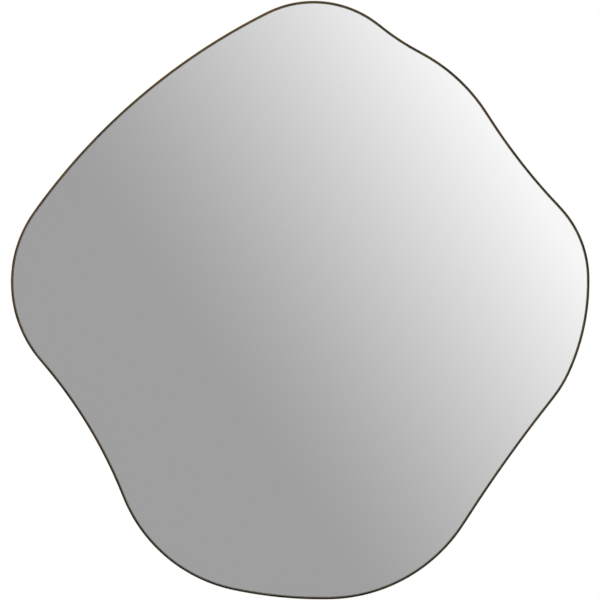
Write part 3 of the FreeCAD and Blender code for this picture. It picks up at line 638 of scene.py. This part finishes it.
def shim_plastic(settings):
    """Moulded polypropylene with a fine mould texture, paler on its high points as a painted highlight."""
    material, wiring, shader, place = new_finish("shim_plastic")
    texture = wiring.noise(place, scale=900.0)
    tone = wiring.mixed(wiring.ranged(texture, 0.3, 0.7, 0.0, 0.3), settings.shim, settings.shim_highlight)
    rough = wiring.ranged(texture, 0.3, 0.7, 0.40, 0.52)
    wiring.finish(shader, tone, rough, texture, relief=0.00003, strength=0.6)
    return material


def plated_metal(name, plating, settings, low_rough, high_rough, line_stretch):
    """Plated steel: marks of rolling or tumbling, dull clouds in the plating, brighter rubbed
    edges and some dust on what faces up."""
    material, wiring, shader, place = new_finish(name)
    lines = wiring.brushed(Place=place, Stretch=line_stretch, Scale=1800.0)
    clouds = wiring.mask("Clouds", Place=place, Scale=130.0, Detail=4.0, Low=0.42, High=0.72)
    bare = wiring.mask("Worn edges", Place=place, Width=0.0005, Breakup=200.0)
    dust = wiring.mask("Settled dust", Place=place, Amount=0.12, Scale=220.0)
    tone = wiring.mixed(wiring.scaled(clouds, 0.42), plating, settings.tarnish)
    tone = wiring.mixed(wiring.scaled(bare, 0.45), tone, settings.brightened)
    tone = wiring.mixed(dust, tone, settings.dust)
    shader["Metallic"].default_value = 1.0
    brushed = wiring.ranged(lines, 0.3, 0.7, low_rough, high_rough)
    rough = wiring.maths("ADD", brushed, wiring.scaled(clouds, 0.12))
    wiring.finish(shader, tone, rough, lines, relief=0.00003, strength=0.5)
    return material


def bumper_rubber(settings):
    """Moulded rubber: matt, paler on its high points as a painted highlight, with a bloom of dust on the
    upper side.
    """
    material, wiring, shader, place = new_finish("bumper_rubber")
    texture = wiring.noise(place, scale=1100.0, detail=3.0, roughness=0.6)
    dust = wiring.mask("Settled dust", Place=place, Amount=0.30, Scale=260.0)
    tone = wiring.mixed(wiring.ranged(texture, 0.3, 0.7, 0.0, 0.5), settings.rubber, settings.rubber_highlight)
    tone = wiring.mixed(dust, tone, settings.rubber_dust)
    rough = wiring.ranged(texture, 0.3, 0.7, 0.55, 0.72)
    wiring.finish(shader, tone, rough, texture, relief=0.00004, strength=0.7)
    return material


# -------------------- meshes


def merged_copy(node):
    """A bmesh of a CAD node with its loose triangles joined."""
    mesh = bmesh.new()
    mesh.from_mesh(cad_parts[node].data)
    bmesh.ops.remove_doubles(mesh, verts=mesh.verts, dist=SAME_PLACE)
    return mesh


def is_level(edge):
    """True for an edge that keeps one distance from the wall."""
    return abs(edge.verts[0].co.y - edge.verts[1].co.y) < SAME_PLACE


def is_square_on(edge):
    """True for an edge that runs straight out from the wall."""
    return (edge.verts[0].co.xz - edge.verts[1].co.xz).length < SAME_PLACE


def outer_wall(node, cuts):
    """The outer wall alone of a ring-shaped node, rounded out between the CAD points."""
    wall = merged_copy(node)
    others = [
        face
        for face in wall.faces
        if abs(face.normal.y) > FLATNESS or face.normal.dot(face.calc_center_median()) < 0
    ]
    bmesh.ops.delete(wall, geom=others, context="FACES")
    diagonals = [edge for edge in wall.edges if not is_level(edge) and not is_square_on(edge)]
    bmesh.ops.dissolve_edges(wall, edges=diagonals, use_verts=False)
    wall.normal_update()
    level = [edge for edge in wall.edges if is_level(edge)]
    bmesh.ops.subdivide_edges(wall, edges=level, cuts=cuts, smooth=BOW, use_grid_fill=True)
    for _ in range(RELAX_ROUNDS):
        bmesh.ops.smooth_vert(wall, verts=wall.verts, factor=0.5, use_axis_x=True, use_axis_z=True)
    hold_to_box(wall, node)
    return wall


def hold_to_box(mesh, node):
    """Scales a mesh so that its box is that of a CAD node."""
    low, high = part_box(node)
    own_low = Vector([min(vert.co[axis] for vert in mesh.verts) for axis in range(3)])
    own_high = Vector([max(vert.co[axis] for vert in mesh.verts) for axis in range(3)])
    ratio = [(high[axis] - low[axis]) / (own_high[axis] - own_low[axis]) for axis in range(3)]
    to_middle = Matrix.Translation(-(own_low + own_high) / 2)
    bmesh.ops.scale(mesh, verts=mesh.verts, vec=ratio, space=to_middle)
    bmesh.ops.translate(mesh, verts=mesh.verts, vec=(low + high - own_low - own_high) / 2)


class Outline:
    """The run of points round the front of a wall, and how far along it each one lies."""

    def __init__(self, wall):
        front = min(vert.co.y for vert in wall.verts)
        edges = [edge for edge in wall.edges if all(abs(v.co.y - front) < SAME_PLACE for v in edge.verts)]
        self.points, self.stations = [], []
        edge, vert, self.length = edges[0], edges[0].verts[0], 0.0
        for _ in edges:
            self.points.append(Vector((vert.co.x, 0, vert.co.z)))
            self.stations.append(self.length)
            self.length += edge.calc_length()
            vert = edge.other_vert(vert)
            edge = next(other for other in vert.link_edges if other in edges and other != edge)
        self.tree = KDTree(len(self.points))
        for index, point in enumerate(self.points):
            self.tree.insert(point, index)
        self.tree.balance()

    def nearest(self, place):
        """The index of the nearest point, and how far in from the outline the place is."""
        _, index, inset = self.tree.find(Vector((place.x, 0, place.z)))
        return index, inset

    def outward(self, index):
        """The direction square to the outline at a point, away from the glass."""
        along = self.points[(index + 1) % len(self.points)] - self.points[index - 1]
        square = along.cross(BACKWARD).normalized()
        return square if square.dot(self.points[index]) > 0 else -square


def thicken(wall, thickness):
    """Turns an outer wall into a closed ring that grows inwards, with its faces outwards."""
    for face in wall.faces:
        if face.normal.dot(face.calc_center_median()) < 0:
            face.normal_flip()
    wall.normal_update()
    bmesh.ops.solidify(wall, geom=wall.faces[:], thickness=thickness)
    bmesh.ops.recalc_face_normals(wall, faces=wall.faces[:])


def round_edges(mesh, edges, radius, steps):
    """Rounds edges and gives back the faces of the rounds."""
    made = bmesh.ops.bevel(
        mesh, geom=edges, offset=radius, segments=steps, profile=0.5, affect="EDGES", material=-1
    )
    return made["faces"]


def map_outline(ring, outline, name):
    """A UV map whose U runs along the outline and whose V runs round the bar's section."""
    layer = ring.loops.layers.uv.new(name)
    for face in ring.faces:
        places = []
        for loop in face.loops:
            index, inset = outline.nearest(loop.vert.co)
            places.append([outline.stations[index], loop.vert.co.y + inset])
        farthest = max(place[0] for place in places)
        for place, loop in zip(places, face.loops):
            if farthest - place[0] > outline.length / 2:
                place[0] += outline.length
            loop[layer].uv = place


def mark_rounds(ring, rounds, outline, name):
    """A point attribute that is 1 inside the outer rounded edges, less in the inner ones,
    and fades to 0 on the flats."""
    layer = ring.verts.layers.float.new(name)
    rounds = set(rounds)
    for vert in ring.verts:
        on_round = [face in rounds for face in vert.link_faces]
        wear = 1.0 if all(on_round) else BESIDE_WEAR if any(on_round) else 0.0
        _, inset = outline.nearest(vert.co)
        vert[layer] = wear if inset < RIM_THICKNESS / 2 else wear * INNER_WEAR


def weld_bead(start, end, settings, seed):
    """A rippled bead of weld metal from one point to another, drawn in at both ends."""
    draw = random.Random(seed)
    mesh = bmesh.new()
    run = end - start
    turned = run.to_track_quat("Z", "Y").to_matrix().to_4x4()
    ripples = max(3, round(run.length / settings.ripple_pitch))
    profile = []
    for ripple in range(ripples):
        swell = 1.0 - settings.unevenness * draw.random()
        along = (ripple + BEAD_LEAD) / (ripples + 2 * BEAD_LEAD - 1)
        drawn_in = math.sin(math.pi * along) ** BEAD_BLUNT
        profile += [swell * drawn_in * part for part in RIPPLE_PROFILE]
    radius = settings.bead_radius
    bmesh.ops.create_circle(
        mesh,
        cap_ends=True,
        segments=settings.bead_sides,
        radius=radius * profile[0],
        matrix=Matrix.Translation(start) @ turned,
    )
    edges = mesh.edges[:]
    for step in range(1, len(profile)):
        made = bmesh.ops.extrude_edge_only(mesh, edges=edges)["geom"]
        edges = [part for part in made if isinstance(part, bmesh.types.BMEdge)]
        verts = [part for part in made if isinstance(part, bmesh.types.BMVert)]
        bmesh.ops.translate(mesh, verts=verts, vec=run / (len(profile) - 1))
        middle = Matrix.Translation(-(start + run * step / (len(profile) - 1)))
        ratio = profile[step] / profile[step - 1]
        bmesh.ops.scale(mesh, verts=verts, vec=(ratio, ratio, ratio), space=middle)
    bmesh.ops.contextual_create(mesh, geom=edges)
    bmesh.ops.recalc_face_normals(mesh, faces=mesh.faces[:])
    return mesh


def tab_weld_run(tab, share_of_edge):
    """Where a tab's bead starts and ends: in the corner between its rear edge and the rim."""
    mesh = merged_copy(tab)
    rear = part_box(tab)[1].y
    edge = [vert.co.copy() for vert in mesh.verts if abs(vert.co.y - rear) < SAME_PLACE]
    mesh.free()
    middle = sum(edge, Vector()) / len(edge)
    far = max(edge, key=lambda place: (place - middle).length) - middle
    along = sum((math.copysign(1, far.dot(place - middle)) * (place - middle) for place in edge), Vector())
    along.normalize()
    outward = along.cross(BACKWARD)
    if outward.dot(middle) < 0:
        outward.negate()
    corner = middle + outward * max(outward.dot(place - middle) for place in edge)
    reach = along * share_of_edge * max(abs(along.dot(place - middle)) for place in edge)
    return corner - reach, corner + reach


def linked_object(name, mesh, material):
    """Writes a bmesh out as an object of the scene."""
    data = bpy.data.meshes.new(name)
    mesh.to_mesh(data)
    mesh.free()
    data.materials.append(material)
    made = bpy.data.objects.new(name, data)
    bpy.context.scene.collection.objects.link(made)
    return made


def place_piece(name, mesh, material, replaces=()):
    """Writes a bmesh out as a finished piece: shaded smooth but for its sharp edges, riding on the
    mirror, with its material, and with the CAD nodes that it stands for hidden."""
    mesh.normal_update()
    for face in mesh.faces:
        face.smooth = True
    for edge in mesh.edges:
        edge.smooth = len(edge.link_faces) == 2 and edge.calc_face_angle() < SHARP_ANGLE
    piece = linked_object(name, mesh, material)
    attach(piece, BODY)
    if replaces:
        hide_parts(*replaces)


def dress(names, material):
    """Gives CAD nodes their material."""
    for name in names:
        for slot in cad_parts[name].material_slots:
            slot.material = material


# -------------------- pieces


def rim_bar(settings):
    """The rim's flat bar with its four long edges rounded, and its outline."""
    ring = outer_wall("frame_band", settings.outline_cuts)
    outline = Outline(ring)
    thicken(ring, RIM_THICKNESS)
    corners = [edge for edge in ring.edges if edge.calc_face_angle() > CORNER_ANGLE]
    rounds = round_edges(ring, corners, settings.edge_round, settings.edge_steps)
    mark_rounds(ring, rounds, outline, "worn_edge")
    map_outline(ring, outline, "outline")
    return ring, outline


def closing_weld(outline, settings):
    """The bead that closes the rim, on its inner wall behind the board."""
    low = [index for index, point in enumerate(outline.points) if point.z < 0]
    index = min(low, key=lambda i: abs(outline.points[i].x - settings.closing_x))
    inner = outline.points[index] - outline.outward(index) * RIM_THICKNESS
    start = inner + BACKWARD * (BOARD_REAR + settings.bead_radius)
    end = inner + BACKWARD * (RIM_REAR - settings.bead_radius)
    return weld_bead(start, end, settings, seed=index)


def sealant_bead(glass, cuts):
    """The bead between rim and glass, with a tooled hollow along its front."""
    ring = outer_wall("edge_seal", cuts)
    thicken(ring, SEAL_WIDTH)
    front = min(vert.co.y for vert in ring.verts)
    hollow = [face for face in ring.faces if face.calc_center_median().y < front + FLATNESS * SEAL_WIDTH]
    for part in HOLLOW_STEPS:
        bmesh.ops.inset_region(
            ring,
            faces=hollow,
            thickness=glass.seal_lip,
            depth=-glass.seal_hollow * part,
            use_boundary=True,
            use_even_offset=True,
        )
    return ring


# -------------------- studio


def card_mesh(width, height, distance):
    """An upright card that faces the mirror."""
    mesh = bmesh.new()
    turned = Matrix.Rotation(math.radians(90), 4, "X")
    scaled = Matrix.Diagonal((width / 2, 1.0, height / 2, 1.0))
    place = Matrix.Translation(BACKWARD * distance)
    bmesh.ops.create_grid(mesh, x_segments=1, y_segments=1, size=1.0, matrix=place @ scaled @ turned)
    return mesh


def stage_object(name, mesh, material):
    """Writes a bmesh out as part of the stage."""
    piece = linked_object(name, mesh, material)
    return piece


def seen_directly(wiring):
    """1 for rays from the camera, from gloss and through glass, and 0 for light that falls on things."""
    path = wiring.node("ShaderNodeLightPath").outputs
    gloss = wiring.maths("MAXIMUM", path["Is Glossy Ray"], path["Is Transmission Ray"])
    return wiring.maths("MAXIMUM", path["Is Camera Ray"], gloss)


def white_world(studio):
    """Even light on the object, and plain white behind it."""
    world = bpy.data.worlds.new("studio_air")
    wiring = emptied(world)
    strength = wiring.ranged(seen_directly(wiring), 0.0, 1.0, studio.air, 1.0)
    background = wiring.node("ShaderNodeBackground", {"Color": WHITE, "Strength": strength})
    wiring.node("ShaderNodeOutputWorld", {"Surface": background.outputs["Background"]})
    bpy.context.scene.world = world


def pale_floor(studio):
    """A pale floor that keeps shadows under the mirror and fades to the white background."""
    material = bpy.data.materials.new("pale_floor")
    wiring = emptied(material)
    place = wiring.object_place()
    matt = wiring.node("ShaderNodeBsdfDiffuse", {"Color": studio.floor_pale, "Roughness": 0.5})
    white = wiring.node("ShaderNodeEmission", {"Color": WHITE, "Strength": 1.0})
    away = wiring.vector("LENGTH", wiring.vector("MULTIPLY", place, (1.0, 1.0, 0.0)), (0.0, 0.0, 0.0))
    fade = wiring.ranged(away, studio.floor_radius * 0.08, studio.floor_radius * 0.5, 0.4, 1.0, smooth=True)
    fade = wiring.maths("MULTIPLY", fade, seen_directly(wiring))
    surface = wiring.node("ShaderNodeMixShader", {0: fade, 1: matt.outputs[0], 2: white.outputs[0]})
    wiring.node("ShaderNodeOutputMaterial", {"Surface": surface.outputs[0]})
    return material


def card_material(studio, reach):
    """A card that is dim at its lower left, bright at its upper right and dim again at its ends.
    Only its place on the card sets its brightness."""
    material = bpy.data.materials.new("reflector_card")
    wiring = emptied(material)
    place = wiring.object_place()
    slope = wiring.vector("DOT_PRODUCT", place, CARD_WAY)
    risen = wiring.ranged(slope, CARD_RISE[0] * reach, CARD_RISE[1] * reach)
    rise = wiring.maths("POWER", risen, studio.card_curve)
    strength = wiring.ranged(rise, 0.0, 1.0, studio.card_dim, studio.card_bright)
    for start, end, change in (
        (CARD_LEFT * reach, CARD_LEFT_BRIGHT, LEFT_GLOW),
        (CARD_RIGHT * reach, CARD_RIGHT_DIM, studio.card_far),
        (*CARD_LEFT_DIM, FAR_LEFT_GLOW),
    ):
        changed = wiring.ranged(slope, start, end, 1.0, change, smooth=True)
        strength = wiring.maths("MULTIPLY", strength, changed)
    foot = wiring.ranged(wiring.part_of(place, "Z"), CARD_FOOT * reach, studio.floor_height, smooth=True)
    kept = wiring.maths("MULTIPLY", strength, wiring.maths("SUBTRACT", 1.0, foot))
    return finish_glow(material, wiring, wiring.maths("ADD", kept, wiring.scaled(foot, FOOT_GLOW)))


def rear_card_material():
    """A card that is bright above and dark below, with a dark flag: it draws the roundness of
    plated wire and screws."""
    material = bpy.data.materials.new("rear_card")
    wiring = emptied(material)
    place = wiring.object_place()
    above = wiring.ranged(wiring.part_of(place, "Z"), -1.0, 1.3, 0.16, 1.0, smooth=True)
    beside = wiring.maths("ABSOLUTE", wiring.maths("SUBTRACT", wiring.part_of(place, "X"), FLAG_X))
    flag = wiring.ranged(beside, 0.2, 0.7, 0.25, 1.0, smooth=True)
    return finish_glow(material, wiring, wiring.maths("MULTIPLY", above, flag))


def finish_glow(material, wiring, strength):
    """Makes a card's material glow white at a strength."""
    glow = wiring.node("ShaderNodeEmission", {"Color": WHITE, "Strength": strength})
    wiring.node("ShaderNodeOutputMaterial", {"Surface": glow.outputs[0]})
    return material


def only_in_reflections(piece):
    """A card that shows in metal and glass and nowhere else."""
    for ray in ("camera", "diffuse", "shadow", "transmission", "volume_scatter"):
        setattr(piece, f"visible_{ray}", False)


def lamp(name, place, power_of_it, width):
    """A soft square lamp that looks at the mirror."""
    light = bpy.data.lights.new(name, "AREA")
    light.shape = "SQUARE"
    light.size = width
    light.energy = power_of_it
    made = bpy.data.objects.new(name, light)
    made.location = place
    made.rotation_euler = (-Vector(place)).to_track_quat("-Z", "Y").to_euler()
    bpy.context.scene.collection.objects.link(made)


def camera_distance(studio):
    """How far the camera stands from the plane of the rim's front."""
    return studio.view_width * studio.lens / studio.sensor


def add_camera(studio):
    """The camera looks square on at the mirror, as in the photograph."""
    data = bpy.data.cameras.new("camera")
    data.lens = studio.lens
    data.sensor_width = studio.sensor
    data.clip_end = FAR_CLIP
    camera = bpy.data.objects.new("camera", data)
    camera.location = (studio.aim_x, RIM_FRONT - camera_distance(studio), studio.aim_z)
    camera.rotation_euler = (math.radians(90), 0.0, 0.0)
    bpy.context.scene.collection.objects.link(camera)
    bpy.context.scene.camera = camera


# -------------------- operators


class MIRROR_OT_stage(bpy.types.Operator):
    """Set up the camera, floor, lamps and reflector cards"""

    bl_idname = "mirror.stage"
    bl_label = "Stage"

    def execute(self, context):
        studio = context.scene.mirror_studio
        context.scene.view_settings.view_transform = "Standard"
        add_camera(studio)
        white_world(studio)
        floor = bmesh.new()
        level = Matrix.Translation((0.0, 0.0, studio.floor_height))
        radius = studio.floor_radius
        bmesh.ops.create_circle(floor, cap_ends=True, segments=FLOOR_SIDES, radius=radius, matrix=level)
        stage_object("floor", floor, pale_floor(studio))
        reach = 1.0 + studio.card_distance / camera_distance(studio)
        for name, side, finish in (
            ("front_card", -1, card_material(studio, reach)),
            ("rear_card", 1, rear_card_material()),
        ):
            mesh = card_mesh(studio.card_width, studio.card_width, side * studio.card_distance)
            only_in_reflections(stage_object(name, mesh, finish))
        for name, place, width, field in LAMPS:
            lamp(name, place, getattr(studio, field), width)
        return {"FINISHED"}


class MIRROR_OT_rim(bpy.types.Operator):
    """Make the bronzed rim, its tabs and their welds"""

    bl_idname = "mirror.rim"
    bl_label = "Rim, tabs and welds"

    def execute(self, context):
        settings = context.scene.mirror_rim
        welds = context.scene.mirror_weld
        ring, outline = rim_bar(settings)
        finish = bronzed_steel("bronzed_bar", settings, outline_map="outline")
        place_piece("rim", ring, finish, ["frame_band"])
        tab_finish = bronzed_steel("bronzed_sheet", settings)
        dress(TABS, tab_finish)
        weld_finish = weld_metal(settings, welds)
        for number, tab in enumerate(TABS, 1):
            bead = weld_bead(*tab_weld_run(tab, welds.tab_share), welds, seed=number)
            place_piece(f"tab_weld_{number}", bead, weld_finish)
        place_piece("rim_closing_weld", closing_weld(outline, welds), weld_finish)
        return {"FINISHED"}


class MIRROR_OT_glass(bpy.types.Operator):
    """Finish the silvered glass and lay the bead of sealant"""

    bl_idname = "mirror.glass"
    bl_label = "Glass and sealant"

    def execute(self, context):
        settings = context.scene.mirror_glass_settings
        cuts = context.scene.mirror_rim.outline_cuts
        dress(["mirror_glass"], silvered_glass(settings))
        bead = sealant_bead(settings, cuts)
        place_piece("sealant_bead", bead, clear_silicone(settings), ["edge_seal"])
        return {"FINISHED"}


class MIRROR_OT_back(bpy.types.Operator):
    """Finish the film, tape, board, shims and bumpers"""

    bl_idname = "mirror.back"
    bl_label = "Board and what lies under it"

    def execute(self, context):
        settings = context.scene.mirror_back
        dress(["safety_film"], backing_film(settings))
        dress(TAPES, foam_tape(settings))
        dress(["backing_board"], fibreboard(settings))
        dress(SHIMS, shim_plastic(settings))
        dress(BUMPERS, bumper_rubber(settings))
        return {"FINISHED"}


class MIRROR_OT_hangers(bpy.types.Operator):
    """Finish the straps, rings and screws"""

    bl_idname = "mirror.hangers"
    bl_label = "Straps, rings and screws"

    def execute(self, context):
        settings = context.scene.mirror_hardware
        for names, finish, plating, smoothest, roughest, stretch in (
            (STRAPS, "plated_strap", settings.nickel, 0.20, 0.34, ROLLED),
            (RINGS, "plated_wire", settings.nickel, 0.14, 0.26, TUMBLED),
            (SCREWS, "screw_zinc", settings.zinc, 0.24, 0.38, TUMBLED),
        ):
            dress(names, plated_metal(finish, plating, settings, smoothest, roughest, stretch))
        return {"FINISHED"}


class MIRROR_PT_panel(bpy.types.Panel):
    """Lists the mirror's pieces and its studio"""

    bl_idname = "MIRROR_PT_panel"
    bl_label = "Irregular wall mirror"
    bl_space_type = "VIEW_3D"
    bl_region_type = "UI"
    bl_category = "Mirror"

    def draw(self, context):
        for operator in OPERATORS:
            self.layout.operator(operator.bl_idname)
        for name, group in SETTINGS.items():
            box = self.layout.box()
            box.label(text=group.__doc__)
            for field in group.__annotations__:
                box.prop(getattr(context.scene, name), field)


OPERATORS = (MIRROR_OT_stage, MIRROR_OT_rim, MIRROR_OT_glass, MIRROR_OT_back, MIRROR_OT_hangers)
CLASSES = (*SETTINGS.values(), *OPERATORS, MIRROR_PT_panel)


def register():
    for cls in CLASSES:
        bpy.utils.register_class(cls)
    for name, group in SETTINGS.items():
        setattr(bpy.types.Scene, name, PointerProperty(type=group))


def unregister():
    for name in SETTINGS:
        delattr(bpy.types.Scene, name)
    for cls in reversed(CLASSES):
        bpy.utils.unregister_class(cls)


def main():
    """Registers the add-on and makes every piece in order."""
    register()
    bpy.ops.mirror.stage()
    bpy.ops.mirror.rim()
    bpy.ops.mirror.glass()
    bpy.ops.mirror.back()
    bpy.ops.mirror.hangers()


if __name__ == "__main__":
    main()
